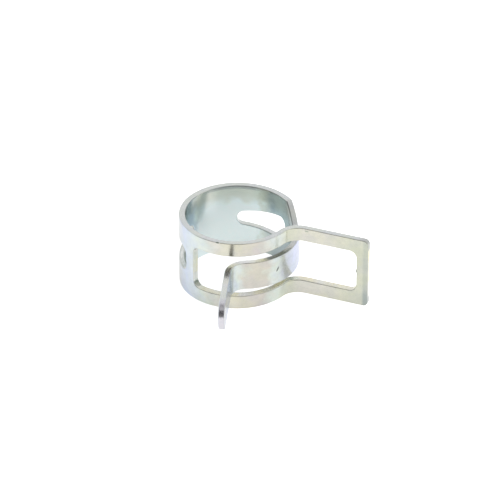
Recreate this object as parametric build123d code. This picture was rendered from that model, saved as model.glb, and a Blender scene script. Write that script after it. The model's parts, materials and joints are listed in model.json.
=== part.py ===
from build123d import *
from build123d.topology import SkipClean
import math
import os

# Spring band pinch clamp for soft tubing, made in one piece from flat spring strip.
# Units are mm. The bore axis is +Z and the lower band edge stands on Z = 0.
# From the back (+Y) the strip runs two ways round the bore: to the left as the fork,
# whose two legs and end bar frame a window, and to the right as the tongue,
# which narrows, passes through that window and ends in the second squeeze tab.
# Angles are in degrees, counted in plan from +X towards +Y.

# Strip
strip_width = 8.0
strip_thickness = 0.67

# Ring
bore_diameter = 10.9
tongue_spread = 0.425            # how much larger the arc on the tongue's side is than the fork's
back_angle = 90.0                # where the fork and the tongue arcs meet
land_width = 1.2                 # full strip between a relief hole and the window or the taper

# Tongue
tongue_height = 3.2
tongue_lift = 0.15               # how far the tongue sits above the mid line
tongue_side_arc = 90.0           # sweep from the back to the right side
tongue_front_radius = 5.52
tongue_front_angle = 87.15       # sweep from the right side to the tongue bend
tongue_bend_radius = 2.05
tongue_bend_angle = 81.95
tongue_tab_length = 7.13
tongue_corner_radius = 1.5
taper_to_side = 0.95             # along the strip, from the taper's corner to the right side
taper_slope = 1.15               # rise per length
taper_fillet = 1.2

# Fork
fork_arc = 232.5                 # sweep from the back round the left to the fork bend
fork_bend_radius = 2.25
fork_bend_angle = 74.1
fork_tab_length = 7.05
fork_corner_radius = 0.55
end_bar_width = 1.28
window_height = 4.88
window_start_angle = 221.0
window_corner_radius = 0.85

# Relief holes: a teardrop in each side of the ring, narrow end towards the back
hole_length = 6.32
hole_half_height = 1.42
hole_tip_radius = 0.8
hole_corner_radius = 0.89

# How far a cutting body stands past the strip
cut_margin = 0.6

# Sizes that follow
half_strip = strip_thickness / 2
mid_z = strip_width / 2
ring_radius = bore_diameter / 2 + half_strip
tongue_ring_radius = ring_radius + tongue_spread
tongue_centre = (0.0, -tongue_spread)
back_point = (0.0, ring_radius)
leg_height = (strip_width - window_height) / 2
side_arc_length = tongue_ring_radius * math.radians(tongue_side_arc)
taper_end = side_arc_length - taper_to_side
taper_start = taper_end - (mid_z - tongue_height / 2) / taper_slope


def walk(start, heading, segments):
    """Follow lines and arcs from a point; list where each segment starts, and the end point."""
    stops = []
    x, y = start
    for segment in segments:
        stops.append(((x, y), heading, segment))
        kind, size, turn = segment
        a = math.radians(heading)
        if kind == "line":
            x += size * math.cos(a)
            y += size * math.sin(a)
        else:
            side = math.copysign(size, turn)
            b = math.radians(heading + turn)
            x += side * (math.sin(b) - math.sin(a))
            y += side * (math.cos(a) - math.cos(b))
            heading += turn
    stops.append(((x, y), heading, None))
    return stops


def strip_plan(start, heading, segments, half):
    """Plan face of a bent strip that reaches `half` to each side of its centre line."""
    stops = walk(start, heading, segments)
    edges = []
    for (x, y), h, segment in stops:
        a = math.radians(h)
        across = Vector(-math.sin(a), math.cos(a))
        here = Vector(x, y)
        if segment is None or segment is segments[0]:
            edges.append(Line(here - across * half, here + across * half).edge())
        if segment is None:
            continue
        kind, size, turn = segment
        for offset in (half, -half):
            if kind == "line":
                near = here + across * offset
                edges.append(Line(near, near + Vector(math.cos(a), math.sin(a)) * size).edge())
            else:
                sign = math.copysign(1, turn)
                centre = here + across * sign * size
                edges.append(CenterArc(centre, size - sign * offset, h - sign * 90, turn).edge())
    return make_face(edges)


def lift(face, low, high):
    """Body between two heights over a plan face."""
    return extrude(face.moved(Location((0, 0, low))), amount=high - low)


def edges_through(body, plan_point):
    """Straight level edges whose middle lies over a plan point."""
    found = []
    for edge in body.edges().filter_by(GeomType.LINE):
        middle = edge @ 0.5
        near = math.hypot(middle.X - plan_point[0], middle.Y - plan_point[1]) < 0.01
        if near and abs((edge % 0.5).Z) < 0.01:
            found.append(edge)
    return found


def wall_cutter(outline, centre, radius, angle, turn):
    """Flat outline wrapped on a ring wall at a plan angle, made thick inwards and outwards.

    The outline's x runs along the wall, the way that `turn` says: 1 for growing angles.
    """
    a = math.radians(angle)
    out = Vector(math.cos(a), math.sin(a))
    along = Vector(-math.sin(a), math.cos(a)) * turn
    middle = Vector(*centre, mid_z)
    guide = Cylinder(radius, 2 * strip_width).moved(Location(middle))
    wall = guide.faces().filter_by(GeomType.CYLINDER)[0]
    skin = wall.wrap(outline, Location(Plane(middle + out * radius, x_dir=along, z_dir=out)))
    reach = half_strip + cut_margin / 2
    return Solid.thicken(skin, reach) + Solid.thicken(skin, -reach)


def relief_outline():
    """Teardrop with its tip towards -X, centred on the middle of its length."""
    corner_x = hole_length / 2 - hole_corner_radius
    corner_y = hole_half_height - hole_corner_radius
    rounds = [(hole_tip_radius, hole_tip_radius - hole_length / 2, 0),
              (hole_corner_radius, corner_x, corner_y),
              (hole_corner_radius, corner_x, -corner_y)]
    circles = []
    for radius, x, y in rounds:
        circles += Circle(radius).moved(Location((x, y))).edges()
    return make_hull(circles).face()


def make_fork():
    """Left part of the ring with its relief hole, then the legs with the tab and its end bar."""
    bend = ("arc", fork_bend_radius, -fork_bend_angle)
    run = [("arc", ring_radius, fork_arc), bend, ("line", fork_tab_length, 0)]
    fork = lift(strip_plan(back_point, back_angle + 90, run, half_strip), 0, strip_width)

    # Window from the ring to the end bar
    a = math.radians(window_start_angle)
    window_start = (ring_radius * math.cos(a), ring_radius * math.sin(a))
    window_arc = back_angle + fork_arc - window_start_angle
    window_run = [("arc", ring_radius, window_arc), bend,
                  ("line", fork_tab_length - end_bar_width, 0)]
    window_plan = strip_plan(window_start, window_start_angle + 90, window_run,
                             half_strip + cut_margin)
    window = lift(window_plan, leg_height, strip_width - leg_height)
    window_end = walk(window_start, window_start_angle + 90, window_run)[-1][0]
    corners = edges_through(window, window_start) + edges_through(window, window_end)
    fork -= fillet(corners, window_corner_radius)

    # Relief hole, wide end beside the window
    to_middle = math.degrees((land_width + hole_length / 2) / ring_radius)
    fork -= wall_cutter(relief_outline(), (0, 0), ring_radius,
                        window_start_angle - to_middle, 1)

    # Outer corners of the tab
    tab_end = walk(back_point, back_angle + 90, run)[-1][0]
    fork = fillet(edges_through(fork, tab_end), fork_corner_radius)

    # The walls of the two legs start where the window's corner rounds end
    b = a + window_corner_radius / ring_radius
    legs_start = Plane(origin=(0, 0, 0), x_dir=(math.cos(b), math.sin(b), 0),
                       z_dir=(-math.sin(b), math.cos(b), 0))
    return list(fork.split(legs_start, keep=Keep.ALL))


def above_tongue(side):
    """Bodies over the taper and the tongue up to the right side; side is 1 above, -1 below."""
    edge_height = tongue_height / 2 + side * tongue_lift
    edge_line = FilletPolyline(
        (taper_start - cut_margin, mid_z + cut_margin * taper_slope),
        (taper_end, edge_height),
        (side_arc_length, edge_height),
        radius=taper_fillet)
    bodies = []
    for piece in edge_line.edges():
        steps = math.ceil(piece.length / cut_margin)
        lips = []
        for radius in (tongue_ring_radius - half_strip - cut_margin,
                       tongue_ring_radius + half_strip + cut_margin):
            points = []
            for i in range(steps + 1):
                p = piece @ (i / steps)
                a = math.radians(back_angle) - p.X / tongue_ring_radius
                points.append((tongue_centre[0] + radius * math.cos(a),
                               tongue_centre[1] + radius * math.sin(a),
                               mid_z + side * p.Y))
            lips.append(Spline(*points).edge())
        ramp = Face.make_surface_from_curves(lips[0], lips[1])
        bodies.append(extrude(ramp, amount=strip_width, dir=(0, 0, side)))
    return bodies


def make_tongue():
    """Right part of the ring with its relief hole, the taper, the tongue and its tab."""
    run = [("arc", tongue_ring_radius, -tongue_side_arc),
           ("arc", tongue_front_radius, -tongue_front_angle),
           ("arc", tongue_bend_radius, tongue_bend_angle),
           ("line", tongue_tab_length, 0)]
    tongue = lift(strip_plan(back_point, back_angle - 90, run, half_strip), 0, strip_width)
    for side in (1, -1):
        for body in above_tongue(side):
            tongue -= body

    # Level edges from the right side to the tab's end
    stops = walk(back_point, back_angle - 90, run)
    front_start, front_heading, _ = stops[1]
    past_tab = ("line", tongue_tab_length + cut_margin, 0)
    front_plan = strip_plan(front_start, front_heading, [run[1], run[2], past_tab],
                            half_strip + cut_margin)
    tongue_z = mid_z + tongue_lift
    tongue -= lift(front_plan, tongue_z + tongue_height / 2, strip_width + cut_margin)
    tongue -= lift(front_plan, -cut_margin, tongue_z - tongue_height / 2)

    # Relief hole, tip at the back
    to_middle = math.degrees(hole_length / 2 / tongue_ring_radius)
    tongue -= wall_cutter(relief_outline(), tongue_centre, tongue_ring_radius,
                          back_angle - to_middle, -1)

    # Outer corners of the tab
    return fillet(edges_through(tongue, stops[-1][0]), tongue_corner_radius)


# One solid, on which each leg keeps a bore wall face of its own
with SkipClean():
    clamp_band = make_tongue().fuse(*make_fork()).solid()

os.makedirs("parts", exist_ok=True)
export_step(clamp_band, "parts/clamp_band.step")
print("volume", round(clamp_band.volume, 2), "box", clamp_band.bounding_box().size)
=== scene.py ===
"""One-piece spring band pinch clamp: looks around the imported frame.

The strip is drawn as a flat blank (s along the strip, z across it), given rolled edges,
and bent round the bore by the same arcs as the solid. s is 0 at the back of the ring,
grows along the tongue and falls along the fork. All lengths here are in millimetres
until the mesh is written in metres.
"""
import json
import math

import bmesh
import bpy
import numpy as np
from mathutils import Matrix, Vector


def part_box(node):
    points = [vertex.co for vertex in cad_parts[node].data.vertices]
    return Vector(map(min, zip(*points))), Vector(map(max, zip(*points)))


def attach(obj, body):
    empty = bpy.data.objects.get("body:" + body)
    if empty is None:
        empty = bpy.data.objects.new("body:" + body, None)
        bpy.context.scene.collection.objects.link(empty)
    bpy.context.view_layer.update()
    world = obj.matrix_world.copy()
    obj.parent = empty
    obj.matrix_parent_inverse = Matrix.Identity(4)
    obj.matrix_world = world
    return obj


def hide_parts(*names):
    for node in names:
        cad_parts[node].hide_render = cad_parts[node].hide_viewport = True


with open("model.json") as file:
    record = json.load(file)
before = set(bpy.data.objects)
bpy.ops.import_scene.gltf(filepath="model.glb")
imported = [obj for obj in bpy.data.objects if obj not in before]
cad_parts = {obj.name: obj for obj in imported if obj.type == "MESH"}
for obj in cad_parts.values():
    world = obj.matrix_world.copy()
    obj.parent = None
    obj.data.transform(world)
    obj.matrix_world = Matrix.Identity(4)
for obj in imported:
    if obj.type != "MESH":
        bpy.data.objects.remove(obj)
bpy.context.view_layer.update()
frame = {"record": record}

MM = 0.001

# Strip and ring, read off the frame where it states them
cad_low, cad_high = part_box("clamp_band")
bore_mount = next(m for m in frame["record"]["mounts"] if m["name"] == "bore")
strip_width = (cad_high.z - cad_low.z) / MM
bore_radius = bore_mount["dims"]["r_mm"]
strip_thickness = 0.67
tongue_spread = 0.425
land_width = 1.2

# Tongue
tongue_height = 3.2
tongue_lift = 0.15
tongue_side_arc = math.radians(90.0)
tongue_front_radius = 5.52
tongue_front_angle = math.radians(87.15)
tongue_bend_radius = 2.05
tongue_bend_angle = math.radians(81.95)
tongue_tab_length = 7.13
tongue_corner_radius = 1.5
taper_to_side = 0.95
taper_slope = 1.15
taper_fillet = 1.2
taper_corner = 0.1

# Fork
fork_arc = math.radians(232.5)
fork_bend_radius = 2.25
fork_bend_angle = math.radians(74.1)
fork_tab_length = 7.05
fork_corner_radius = 0.55
end_bar_width = 1.28
window_height = 4.88
window_start = math.radians(221.0 - 90.0)
window_corner_radius = 0.85

# Burr on the end bar, at the window
burr_z = 4.1
burr_half_length = 0.25
burr_height = 0.1

# Relief holes
hole_length = 6.32
hole_half_height = 1.42
hole_tip_radius = 0.8
hole_corner_radius = 0.89

# Sheared edge: a small round outside and a larger one inside; the window's walls also lean
outer_round = 0.08
inner_round = 0.13
window_slant = 0.12

# Mesh fineness, and how close two points or a point and a cut have to be to count as one
edge_steps = 5
corner_step = math.radians(7)
straight_half_angle = math.radians(89.9)
slice_length = 0.13
point_gap = 1e-4
cut_gap = 1e-5

# Sizes that follow
half_strip = strip_thickness / 2
mid_z = strip_width / 2
ring_radius = bore_radius + half_strip
tongue_ring_radius = ring_radius + tongue_spread
leg_height = (strip_width - window_height) / 2


# Bending line

def bend_run(start, heading, segments):
    """Segments of a centre line, each with its start, heading, length and turn."""
    stops = []
    x, y = start
    for length, turn in segments:
        stops.append((x, y, heading, length, turn))
        if turn:
            radius = length / turn
            x += radius * (math.sin(heading + turn) - math.sin(heading))
            y += radius * (math.cos(heading) - math.cos(heading + turn))
            heading += turn
        else:
            x += length * math.cos(heading)
            y += length * math.sin(heading)
    return stops


def point_on(run, distance):
    """Position and heading at a distance along a run."""
    for stop in run:
        x, y, heading, length, turn = stop
        if distance <= length or stop is run[-1]:
            break
        distance -= length
    if turn:
        radius = length / turn
        h = heading + distance / radius
        return (x + radius * (math.sin(h) - math.sin(heading)),
                y + radius * (math.cos(heading) - math.cos(h)), h)
    return x + distance * math.cos(heading), y + distance * math.sin(heading), heading


back_point = (0.0, ring_radius)
fork_run = bend_run(back_point, math.pi,
                    [(ring_radius * fork_arc, fork_arc),
                     (fork_bend_radius * fork_bend_angle, -fork_bend_angle),
                     (fork_tab_length, 0.0)])
tongue_run = bend_run(back_point, 0.0,
                      [(tongue_ring_radius * tongue_side_arc, -tongue_side_arc),
                       (tongue_front_radius * tongue_front_angle, -tongue_front_angle),
                       (tongue_bend_radius * tongue_bend_angle, tongue_bend_angle),
                       (tongue_tab_length, 0.0)])
fork_length = sum(stop[3] for stop in fork_run)
tongue_length = sum(stop[3] for stop in tongue_run)
strip_length = fork_length + tongue_length


def bend(s, z, n):
    """Place of a flat point (s, z, n) on the bent strip, and the strip's heading there."""
    if s < 0:
        x, y, h = point_on(fork_run, -s)
        h += math.pi
    else:
        x, y, h = point_on(tongue_run, s)
    return (x - n * math.sin(h), y + n * math.cos(h), z), h


# Flat outline

def rounded(corners):
    """Closed outline through (s, z, radius) corners, with arcs as short chords."""
    points = []
    count = len(corners)
    for i in range(count):
        before, here, after = (Vector(corners[(i + k) % count][:2]) for k in (-1, 0, 1))
        radius = corners[i][2]
        a, b = (before - here).normalized(), (after - here).normalized()
        half = a.angle(b) / 2
        if radius == 0 or half > straight_half_angle:
            points.append(here)
            continue
        reach = radius / math.tan(half)
        centre = here + (a + b).normalized() * (radius / math.sin(half))
        first, last = here + a * reach - centre, here + b * reach - centre
        sweep = first.angle_signed(last)
        steps = max(2, math.ceil(abs(sweep) / corner_step))
        for k in range(steps + 1):
            points.append(centre + Matrix.Rotation(-sweep * k / steps, 2) @ first)
    return points


def teardrop(tip, wide_end):
    """Relief hole between two places along the strip: a hull of a tip and two corner circles."""
    sign = 1 if wide_end > tip else -1
    run = hole_length - hole_corner_radius - hole_tip_radius
    rise = hole_half_height - hole_corner_radius
    slant = math.atan2(rise, run) + math.acos((hole_tip_radius - hole_corner_radius)
                                              / math.hypot(run, rise))
    arcs = [(hole_tip_radius, hole_tip_radius, 0.0, slant, 2 * math.pi - slant),
            (hole_corner_radius, hole_length - hole_corner_radius, -rise, -slant, 0.0),
            (hole_corner_radius, hole_length - hole_corner_radius, rise, 0.0, slant)]
    points = []
    for radius, s, z, first, last in arcs:
        steps = math.ceil((last - first) / corner_step)
        for k in range(steps + 1):
            a = first + (last - first) * k / steps
            points.append(Vector((tip + sign * (s + radius * math.cos(a)),
                                  mid_z + z + radius * math.sin(a))))
    return points if sign > 0 else points[::-1]


def blank_outlines():
    """Outer edge anticlockwise, then the three openings clockwise."""
    taper_end = tongue_ring_radius * tongue_side_arc - taper_to_side
    taper_start = taper_end - (mid_z - tongue_height / 2) / taper_slope
    tongue_low = mid_z + tongue_lift - tongue_height / 2
    tongue_high = tongue_low + tongue_height
    low = [(-fork_length, 0.0, fork_corner_radius),
           (taper_start, 0.0, taper_corner),
           (taper_end, tongue_low, taper_fillet),
           (tongue_length, tongue_low, tongue_corner_radius)]
    high = [(tongue_length, tongue_high, tongue_corner_radius),
            (taper_end, tongue_high, taper_fillet),
            (taper_start, strip_width, taper_corner),
            (-fork_length, strip_width, fork_corner_radius)]
    ring_end = -ring_radius * window_start
    bar_end = -(fork_length - end_bar_width)
    window_top = strip_width - leg_height
    window = rounded([(ring_end, leg_height, window_corner_radius),
                      (bar_end, leg_height, window_corner_radius),
                      (bar_end, burr_z - burr_half_length, 0.0),
                      (bar_end + burr_height, burr_z, 0.0),
                      (bar_end, burr_z + burr_half_length, 0.0),
                      (bar_end, window_top, window_corner_radius),
                      (ring_end, window_top, window_corner_radius)])
    wide_end = ring_end + land_width
    left_hole = teardrop(wide_end + hole_length, wide_end)[::-1]
    right_hole = teardrop(0.0, hole_length)[::-1]
    return [rounded(low + high), window, left_hole, right_hole]


# Strip mesh

def side_normals(points):
    """Unit normals that point out of the metal, on the right of the way round."""
    count = len(points)
    normals = []
    for i in range(count):
        ahead = points[(i + 1) % count] - points[i]
        behind = points[i] - points[i - 1]
        n = Vector((ahead.y, -ahead.x)).normalized() + Vector((behind.y, -behind.x)).normalized()
        normals.append(n.normalized())
    return normals


def without_doubles(points):
    """The points of a closed outline, less those that repeat the one before."""
    return [p for i, p in enumerate(points) if (p - points[i - 1]).length > point_gap]


def edge_profile():
    """Inset, depth n and normal's angle at each step round the edge, from outside to inside."""
    profile = []
    for k in range(edge_steps + 1):
        a = math.pi / 2 * (1 - k / edge_steps)
        profile.append((outer_round * (1 - math.cos(a)),
                        half_strip - outer_round * (1 - math.sin(a)), a))
    for k in range(edge_steps + 1):
        a = math.pi / 2 * k / edge_steps
        profile.append((inner_round * (1 - math.cos(a)),
                        -half_strip + inner_round * (1 - math.sin(a)), -a))
    return profile


def flat_blank():
    """The blank with rolled edges as a bmesh in (s, n, z), with a normal kept on each vertex."""
    bm = bmesh.new()
    normal_layer = bm.verts.layers.float_vector.new("flat_normal")
    profile = edge_profile()
    caps = [[], []]
    for outline, slant in zip(blank_outlines(), (0.0, window_slant, 0.0, 0.0)):
        points = without_doubles(outline)
        normals = side_normals(points)
        rings = []
        for inset, n, a in profile:
            ring = []
            lean = slant * (0.5 - n / strip_thickness)
            for p, side in zip(points, normals):
                q = p - side * (inset - lean)
                v = bm.verts.new((q.x, n, q.y))
                v[normal_layer] = (side.x * math.cos(a), math.sin(a), side.y * math.cos(a))
                ring.append(v)
            rings.append(ring)
        for upper, lower in zip(rings, rings[1:]):
            for i in range(len(points)):
                bm.faces.new((upper[i - 1], upper[i], lower[i], lower[i - 1]))
        for cap, ring in zip(caps, (rings[0], rings[-1])):
            cap += [bm.edges.get((ring[i - 1], ring[i])) for i in range(len(ring))]
    for cap, up in zip(caps, (1, -1)):
        bmesh.ops.triangle_fill(bm, edges=cap, use_beauty=True, normal=(0, up, 0))
    bmesh.ops.recalc_face_normals(bm, faces=bm.faces[:])
    return bm, normal_layer


def cut_slices(bm):
    """Cut across the strip, so that it can bend."""
    count = math.ceil(strip_length / slice_length)
    for i in range(1, count):
        s = -fork_length + i * strip_length / count
        bmesh.ops.bisect_plane(bm, geom=bm.verts[:] + bm.edges[:] + bm.faces[:],
                               plane_co=(s, 0, 0), plane_no=(1, 0, 0), dist=cut_gap)


def make_band():
    """The bent strip as an object; each vertex keeps its flat place (s, z, n) as "strip"."""
    bm, normal_layer = flat_blank()
    cut_slices(bm)
    flat, normals = [], []
    for v in bm.verts:
        s, n, z = v.co
        flat.append((s, z, n))
        place, h = bend(s, z, n)
        along, out, up = Vector(v[normal_layer]).normalized()
        normals.append((along * math.cos(h) - out * math.sin(h),
                        along * math.sin(h) + out * math.cos(h), up))
        v.co = Vector(place) * MM
    mesh = bpy.data.meshes.new("clamp_band_strip")
    bm.to_mesh(mesh)
    bm.free()
    mesh.attributes.remove(mesh.attributes["flat_normal"])
    strip = mesh.attributes.new("strip", "FLOAT_VECTOR", "POINT")
    strip.data.foreach_set("vector", np.array(flat, np.float32).ravel())
    mesh.polygons.foreach_set("use_smooth", np.ones(len(mesh.polygons), bool))
    mesh.normals_split_custom_set_from_vertices(normals)
    obj = bpy.data.objects.new("clamp_band_strip", mesh)
    bpy.context.scene.collection.objects.link(obj)
    return obj


# Finish

def node(tree, kind, inputs=None, **settings):
    """New node with its settings, and its inputs set to numbers or linked to other sockets."""
    made = tree.nodes.new(kind)
    for name, value in settings.items():
        setattr(made, name, value)
    for name, value in (inputs or {}).items():
        if isinstance(value, bpy.types.NodeSocket):
            tree.links.new(value, made.inputs[name])
        else:
            made.inputs[name].default_value = value
    return made


def calc(tree, operation, *values):
    """Result of one step of arithmetic."""
    inputs = dict(enumerate(values))
    return node(tree, "ShaderNodeMath", inputs, operation=operation).outputs[0]


def fade(tree, value, low, high, to_low=0.0, to_high=1.0):
    """Smooth step of a value from low to high."""
    inputs = {"Value": value, "From Min": low, "From Max": high, "To Min": to_low, "To Max": to_high}
    made = node(tree, "ShaderNodeMapRange", inputs, interpolation_type="SMOOTHSTEP")
    return made.outputs["Result"]


def mix(tree, factor, a, b, blend="MIX"):
    """Colour between a and b."""
    made = node(tree, "ShaderNodeMix", data_type="RGBA", blend_type=blend)
    sockets = {s.identifier: s for s in made.inputs}
    for name, value in (("Factor_Float", factor), ("A_Color", a), ("B_Color", b)):
        if isinstance(value, bpy.types.NodeSocket):
            tree.links.new(value, sockets[name])
        else:
            sockets[name].default_value = value
    return next(s for s in made.outputs if s.identifier == "Result_Color")


def shade_of(red, green, blue):
    """Colour written as 0 to 255 display values."""
    linear = [(v / 255 / 12.92) if v < 11 else ((v / 255 + 0.055) / 1.055) ** 2.4
              for v in (red, green, blue)]
    return (*linear, 1.0)


def ramp(tree, value, stops):
    """Colour for a value from 0 to 1, by (place, colour) stops."""
    made = node(tree, "ShaderNodeValToRGB", {"Fac": value})
    elements = made.color_ramp.elements
    while len(elements) < len(stops):
        elements.new(0.5)
    for element, (place, colour) in zip(elements, stops):
        element.position = place
        element.color = colour
    return made.outputs["Color"]


def noise(tree, vector, scale, detail=2.0, roughness=0.5):
    """Smooth random value about 0.5, hardly ever below 0.3 or above 0.7."""
    inputs = {"Vector": vector, "Scale": scale, "Detail": detail, "Roughness": roughness}
    return node(tree, "ShaderNodeTexNoise", inputs).outputs["Fac"]


# Passivation tints of the rolled faces
straw = shade_of(219, 216, 199)
pearl = shade_of(224, 222, 210)
pale_green = shade_of(224, 232, 226)
olive = shade_of(214, 216, 199)
sky = shade_of(216, 226, 241)
lavender = shade_of(216, 222, 240)
steel_blue = shade_of(196, 208, 232)
slate = shade_of(208, 213, 220)
rose_grey = shade_of(211, 206, 201)
beige = shade_of(214, 210, 199)
mint = shade_of(236, 247, 247)
dull_green = shade_of(216, 225, 217)
# Teal and blue of the inner sides: passivation tint darkened with painted shade
teal_tint_and_shade = shade_of(188, 200, 202)
blue_tint_and_shade = shade_of(194, 210, 224)

# Tints of the cut walls, and a dark grey for the painted shadow on the tongue's cut edges
plain_grey = shade_of(232, 236, 234)
dim_grey = shade_of(206, 208, 205)
tongue_facet_shadow = shade_of(150, 154, 150)
warm_yellow = shade_of(240, 236, 206)
near_white = shade_of(250, 251, 248)
lilac_grey = shade_of(218, 216, 225)
window_grey = shade_of(252, 252, 245)
window_yellow = shade_of(253, 249, 224)

# Where along the strip each tint is strongest: millimetres from the back, growing along the tongue
outer_tints = [(-33.4, olive), (-31.6, olive), (-28.6, pearl), (-26.2, pearl), (-24.2, olive),
               (-22.4, pale_green), (-20.6, rose_grey), (-18.4, straw), (-16.2, pearl),
               (-14.6, pale_green), (-12.0, sky), (-8.0, pearl), (-4.0, pale_green), (0.0, sky),
               (4.0, pearl), (7.0, pale_green), (9.0, lavender), (12.2, lavender),
               (13.8, slate), (15.0, pale_green), (16.4, beige), (18.0, beige),
               (19.2, pale_green), (22.0, steel_blue), (25.0, steel_blue), (27.0, slate),
               (28.1, slate)]
# Inner side: paler passivation tints, with painted shade in the teal on the tongue's side and the
# blue on the fork's side
inner_tints_and_shade = [(-13.0, mint), (-9.0, mint), (-7.8, blue_tint_and_shade), (-6.2, blue_tint_and_shade), (-4.8, mint),
               (2.2, mint), (3.2, dull_green), (4.6, teal_tint_and_shade), (8.0, teal_tint_and_shade), (10.0, mint)]
# Cut walls: from 13.9 to 15.7 the tongue's cut walls get the dark grey, a painted shadow of the
# upper leg
sheared_tint_and_shadows = [(-33.4, dim_grey), (-32.9, dim_grey), (-32.0, plain_grey), (6.2, plain_grey),
                 (7.2, dim_grey), (9.0, plain_grey), (13.2, dim_grey), (13.9, tongue_facet_shadow),
                 (15.7, tongue_facet_shadow), (16.4, warm_yellow), (17.4, near_white), (21.0, near_white),
                 (21.6, dim_grey), (22.4, near_white), (26.0, plain_grey), (27.5, lilac_grey),
                 (28.1, lilac_grey)]

# Limits between which a noise value turns into patches, from soft edges to harder ones
soft_patches = (0.3, 0.7)
middle_patches = (0.35, 0.65)
hard_patches = (0.4, 0.6)

# Depths n in the strip, or distances from its middle, over which one look fades into another
inside_to_outside = (-0.1, 0.1)
mottling_fade = (-0.3, -0.1)
face_to_wall = (half_strip - 0.015, half_strip - 0.06)
bright_to_dull = (half_strip, half_strip - 0.03)
wall_to_edge = (half_strip - outer_round - 0.02, half_strip - 0.04)

# Soft cloudy patches shift the tints along the strip, and the band of painted shade inside up and
# down
cloud_scale = 0.9
cloud_drift = 1.5
cloud_rise = 0.8

# Inside: a band of painted shade under the upper edge, from z to z, and a painted dark line of shade
# along it at the back
shade_band = (5.5, 7.0)
shade_band_tint = (0.84, 0.79, 0.71, 1)
line_heights = (7.5, 7.75)
line_left_end = (-4.5, -2.5)
line_right_end = (3.6, 1.6)
rim_line_shade = shade_of(178, 182, 180)

# Outside: painted shade on the last of the fork tab, darker towards its foot
fork_end_fade = (0.75 - fork_length, 0.4 - fork_length)
fork_foot = (3.0, 1.0)
fork_end_least = 0.45
fork_end_shade = shade_of(176, 184, 178)

# Walls of the window: how far from the mid line, where along the strip, and yellow patches
window_reach = (3.0, 2.7)
window_from = (-12.5, -13.0)
yellow_patch_scale = 0.7

# Faint patches of lightness and of hue, fainter inside
light_patch_scale = 1.3
light_patch_tint = (0.91, 0.925, 0.93, 1)
hue_patch_scale = 0.55
warm_cast = (1.0, 0.995, 0.965, 1)
cool_cast = (0.985, 0.975, 1.0, 1)
inner_mottling = 0.3

# Rolling grain and dullness
grain_scale = 1.6
grain_stretch = 14.0
rolled_roughness = (0.15, 0.25)
wall_dullness = 0.06
edge_dullness = 0.28
grain_bump = 0.1
grain_depth = 0.03 * MM

# Among them painted light: the window corner and left hole shadows are painted shade, and the left
# hole glint and the lower leg's gold are painted highlights
# Small marks as in the photo: place (s, z, n), half sizes, turn in degrees, colour
soot = shade_of(112, 118, 114)
moss = shade_of(150, 158, 146)
pale_moss = shade_of(182, 186, 172)
shadow_green = shade_of(150, 156, 148)
corner_shadow = shade_of(180, 185, 175)
# Colour of a painted golden highlight
highlight_gold = shade_of(236, 229, 190)
bright_white = shade_of(253, 255, 254)
burr_mark = ((-32.08, 4.08, 0.3), (0.16, 0.12, 0.3), 0, soot)
fork_bend_spot = ((-26.57, 7.72, 0.3), (0.28, 0.12, 0.3), 0, pale_moss)
tongue_nick = ((14.83, 4.28, 0.33), (0.38, 0.11, 0.2), 119, soot)
rim_dot = ((-16.2, 7.95, 0.33), (0.22, 0.1, 0.2), 0, moss)
window_corner_shadow = ((-13.5, 1.8, -0.05), (1.1, 0.55, 0.45), -45, corner_shadow)
# Painted golden highlight on the lower leg's upper cut edge in the window
lower_leg_highlight = ((-23.2, 1.5, 0.0), (1.5, 0.35, 0.35), 0, highlight_gold)
left_hole_glint = ((-9.4, 2.6, 0.02), (3.0, 0.6, 0.26), 0, bright_white)
left_hole_shadow = ((-9.4, 2.6, -0.34), (3.0, 0.8, 0.16), 0, shadow_green)
marks = [burr_mark, fork_bend_spot, tongue_nick, rim_dot, window_corner_shadow, lower_leg_highlight,
         left_hole_glint, left_hole_shadow]
mark_edge = (1.0, 0.5)


def tint_along(tree, place, tints):
    """Tint at a place along the strip."""
    share = calc(tree, "MULTIPLY_ADD", place, 1 / strip_length, fork_length / strip_length)
    stops = [((peak + fork_length) / strip_length, tint) for peak, tint in tints]
    return ramp(tree, share, stops)


def rolled_tint_and_shade(tree, strip, s, z, n):
    """Tint of the rolled faces, drifting along the strip with soft cloudy patches, and painted shade
    inside under the upper edge and on the end of the fork tab.
    """
    patches = noise(tree, strip, cloud_scale, detail=3.0)
    drift = calc(tree, "MULTIPLY_ADD", patches, 2 * cloud_drift, -cloud_drift)
    place = calc(tree, "ADD", s, drift)

    # Inner tints, with painted shade in the darker teal and blue
    inner = tint_along(tree, place, inner_tints_and_shade)
    rise = calc(tree, "MULTIPLY_ADD", patches, 2 * cloud_rise, -cloud_rise)
    height = calc(tree, "ADD", z, rise)
    # Painted shade: the inner face darker in a band under the upper edge
    inner = mix(tree, fade(tree, height, *shade_band), inner, shade_band_tint, "MULTIPLY")
    # Painted shade: a dark line along the inner face under the upper edge at the back
    back = calc(tree, "MULTIPLY", fade(tree, s, *line_right_end), fade(tree, s, *line_left_end))
    line = calc(tree, "MULTIPLY", back, fade(tree, z, *line_heights))
    inner = mix(tree, line, inner, rim_line_shade)

    outer = tint_along(tree, place, outer_tints)
    # Painted shade: the end of the fork tab darker, most of all at its foot
    foot = fade(tree, z, *fork_foot, fork_end_least, 1.0)
    end = calc(tree, "MULTIPLY", fade(tree, s, *fork_end_fade), foot)
    outer = mix(tree, end, outer, fork_end_shade)
    return mix(tree, fade(tree, n, *inside_to_outside), inner, outer)


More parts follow.
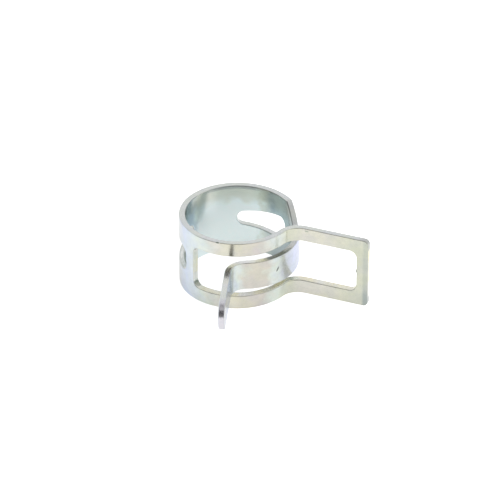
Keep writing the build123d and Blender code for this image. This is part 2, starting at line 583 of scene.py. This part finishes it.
def sheared_tint_and_shadow(tree, strip, s, z):
    """Tint of the cut walls: grey on the rims, yellowish in the window, with a painted shadow on the
    tongue's cut edges.
    """
    colour = tint_along(tree, s, sheared_tint_and_shadows)
    off_middle = calc(tree, "ABSOLUTE", calc(tree, "SUBTRACT", z, mid_z))
    near_middle = fade(tree, off_middle, *window_reach)
    past_land = fade(tree, s, *window_from)
    yellow = fade(tree, noise(tree, strip, yellow_patch_scale), *middle_patches)
    window = mix(tree, yellow, window_grey, window_yellow)
    return mix(tree, calc(tree, "MULTIPLY", near_middle, past_land), colour, window)


def mottled(tree, strip, n, colour):
    """Faint patches of lightness and hue, fainter inside."""
    strength = fade(tree, n, *mottling_fade, inner_mottling, 1.0)
    patches = noise(tree, strip, light_patch_scale, detail=4.0, roughness=0.6)
    light = calc(tree, "MULTIPLY", fade(tree, patches, *soft_patches), strength)
    colour = mix(tree, light, colour, light_patch_tint, "MULTIPLY")
    hue = fade(tree, noise(tree, strip, hue_patch_scale), *hard_patches)
    cast = mix(tree, hue, warm_cast, cool_cast)
    return mix(tree, strength, colour, cast, "MULTIPLY")


def marked(tree, strip, colour):
    """The colour with the small marks, painted shadows and painted highlights on it, each an
    ellipsoid with a soft edge.
    """
    for place, size, turn, shade in marks:
        inputs = {"Vector": strip, "Location": place, "Rotation": (0, 0, math.radians(turn)),
                  "Scale": size}
        local = node(tree, "ShaderNodeMapping", inputs, vector_type="TEXTURE").outputs[0]
        reach = node(tree, "ShaderNodeVectorMath", {0: local}, operation="LENGTH").outputs["Value"]
        colour = mix(tree, fade(tree, reach, *mark_edge), colour, shade)
    return colour


def plated_steel():
    """Bright plated spring steel: rolled faces with a faint passivation tint, sheared edges, painted
    shade and painted highlights.
    """
    mat = bpy.data.materials.new("plated_spring_steel")
    mat.use_nodes = True
    tree = mat.node_tree
    tree.nodes.clear()
    strip = node(tree, "ShaderNodeAttribute", attribute_name="strip").outputs["Vector"]
    s, z, n = node(tree, "ShaderNodeSeparateXYZ", {0: strip}).outputs
    depth = calc(tree, "ABSOLUTE", n)
    sheared = fade(tree, depth, *face_to_wall)
    colour = mix(tree, sheared, rolled_tint_and_shade(tree, strip, s, z, n), sheared_tint_and_shadow(tree, strip, s, z))
    colour = marked(tree, strip, mottled(tree, strip, n, colour))

    # Rolling grain along the strip; the cut walls and their rolled-over edges are duller
    across = (1.0, grain_stretch, grain_stretch)
    stretched = node(tree, "ShaderNodeVectorMath", {0: strip, 1: across},
                     operation="MULTIPLY").outputs[0]
    grain = noise(tree, stretched, grain_scale, detail=4.0, roughness=0.6)
    off_face = fade(tree, depth, *bright_to_dull)
    dullness = fade(tree, depth, *wall_to_edge, wall_dullness, edge_dullness)
    added = calc(tree, "MULTIPLY", off_face, dullness)
    rolled = fade(tree, grain, *soft_patches, *rolled_roughness)
    roughness = calc(tree, "ADD", added, rolled)
    bump = node(tree, "ShaderNodeBump",
                {"Strength": grain_bump, "Distance": grain_depth, "Height": grain})

    shader = node(tree, "ShaderNodeBsdfPrincipled",
                  {"Base Color": colour, "Metallic": 1.0, "Roughness": roughness,
                   "Normal": bump.outputs["Normal"]})
    node(tree, "ShaderNodeOutputMaterial", {"Surface": shader.outputs["BSDF"]})
    return mat


# Stage: floor, and the brightness of the room
floor_half = 400
floor_matt = 0.85
floor_glow = 0.75
mirrored_glow = 0.36
room_side = 0.8
room_top = 0.42
room_dark = 0.14

# Angles in degrees over which the room fades: upwards, and round from the camera to the right
room_top_fade = (60, 80)
dark_top_fade = (62, 50)
dark_left_fade = (-95, -65)
dark_right_fade = (40, 15)

# Soft lamp, which metal doesn't mirror
softbox_place = (150, -175, 241)
softbox_size = 260
softbox_power = 0.5


def grey(level):
    """Grey as a colour, 0 black to 1 white."""
    return (level, level, level, 1)


def seen_glow(tree):
    """Extra light of the floor where the camera sees it, and a part of it in metal and glass."""
    rays = node(tree, "ShaderNodeLightPath").outputs
    mirrored = calc(tree, "ADD", rays["Is Glossy Ray"], rays["Is Transmission Ray"])
    return calc(tree, "MULTIPLY_ADD", mirrored, mirrored_glow,
                calc(tree, "MULTIPLY", rays["Is Camera Ray"], floor_glow))


def make_floor():
    """White floor under the part."""
    half = floor_half * MM
    mesh = bpy.data.meshes.new("floor")
    mesh.from_pydata([(-half, -half, 0), (half, -half, 0), (half, half, 0), (-half, half, 0)],
                     [], [(0, 1, 2, 3)])
    floor = bpy.data.objects.new("floor", mesh)
    bpy.context.scene.collection.objects.link(floor)
    mat = bpy.data.materials.new("floor_white")
    mat.use_nodes = True
    tree = mat.node_tree
    tree.nodes.clear()
    matt = node(tree, "ShaderNodeBsdfDiffuse", {"Color": grey(floor_matt)})
    glow = node(tree, "ShaderNodeEmission", {"Color": grey(1), "Strength": seen_glow(tree)})
    both = node(tree, "ShaderNodeAddShader", {0: matt.outputs[0], 1: glow.outputs[0]})
    node(tree, "ShaderNodeOutputMaterial", {"Surface": both.outputs[0]})
    mesh.materials.append(mat)


def fade_by_angle(tree, angle, limits):
    """Smooth step of an angle between two limits in degrees."""
    return fade(tree, angle, *(math.radians(limit) for limit in limits))


def make_world():
    """White studio with grey overhead, and a dark room behind the camera and to its left."""
    world = bpy.data.worlds.new("studio")
    bpy.context.scene.world = world
    world.use_nodes = True
    tree = world.node_tree
    tree.nodes.clear()
    toward = node(tree, "ShaderNodeTexCoord").outputs["Generated"]
    x, y, z = node(tree, "ShaderNodeSeparateXYZ", {0: toward}).outputs
    height = calc(tree, "ARCSINE", z)
    turn = calc(tree, "ARCTAN2", x, calc(tree, "MULTIPLY", y, -1.0))
    top = fade_by_angle(tree, height, room_top_fade)
    low = fade_by_angle(tree, height, dark_top_fade)
    left = fade_by_angle(tree, turn, dark_left_fade)
    right = fade_by_angle(tree, turn, dark_right_fade)
    dark = calc(tree, "MULTIPLY", low, calc(tree, "MULTIPLY", left, right))
    level = mix(tree, top, grey(room_side), grey(room_top))
    level = mix(tree, dark, level, grey(room_dark))
    rays = node(tree, "ShaderNodeLightPath").outputs
    colour = mix(tree, rays["Is Camera Ray"], level, grey(1))
    light = node(tree, "ShaderNodeBackground", {"Color": colour, "Strength": 1.0})
    node(tree, "ShaderNodeOutputWorld", {"Surface": light.outputs[0]})


def make_softbox():
    """Square lamp at the front right that points at the ring."""
    data = bpy.data.lights.new("softbox", "AREA")
    data.shape = "SQUARE"
    data.size = softbox_size * MM
    data.energy = softbox_power
    lamp = bpy.data.objects.new("softbox", data)
    bpy.context.scene.collection.objects.link(lamp)
    lamp.visible_glossy = False
    lamp.location = Vector(softbox_place) * MM
    to_ring = Vector((0, 0, mid_z)) - Vector(softbox_place)
    lamp.rotation_mode = "QUATERNION"
    lamp.rotation_quaternion = to_ring.to_track_quat("-Z", "Y")


# Camera at the photo's view: far away, above the table, looking along +Y
camera_elevation = math.radians(32.565)
camera_distance = 487.4
camera_right = 1.350
camera_up = -0.512
camera_lens = 333.4
sensor_width = 36
clip_near = 10
clip_far = 10000


def make_camera():
    """The photo's camera, shifted across its view so that the part sits as in the photo."""
    data = bpy.data.cameras.new("camera")
    camera = bpy.data.objects.new("camera", data)
    bpy.context.scene.collection.objects.link(camera)
    look = Vector((0, math.cos(camera_elevation), -math.sin(camera_elevation)))
    up = Vector((0, math.sin(camera_elevation), math.cos(camera_elevation)))
    place = Vector((camera_right, 0, mid_z)) - look * camera_distance + up * camera_up
    camera.location = place * MM
    camera.rotation_mode = "QUATERNION"
    camera.rotation_quaternion = look.to_track_quat("-Z", "Y")
    data.lens = camera_lens
    data.sensor_width = sensor_width
    data.clip_start = clip_near * MM
    data.clip_end = clip_far * MM
    bpy.context.scene.camera = camera


band = make_band()
band.data.materials.append(plated_steel())
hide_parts("clamp_band")
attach(band, "root")

make_floor()
make_world()
make_softbox()
make_camera()
bpy.context.scene.view_settings.view_transform = "Standard"
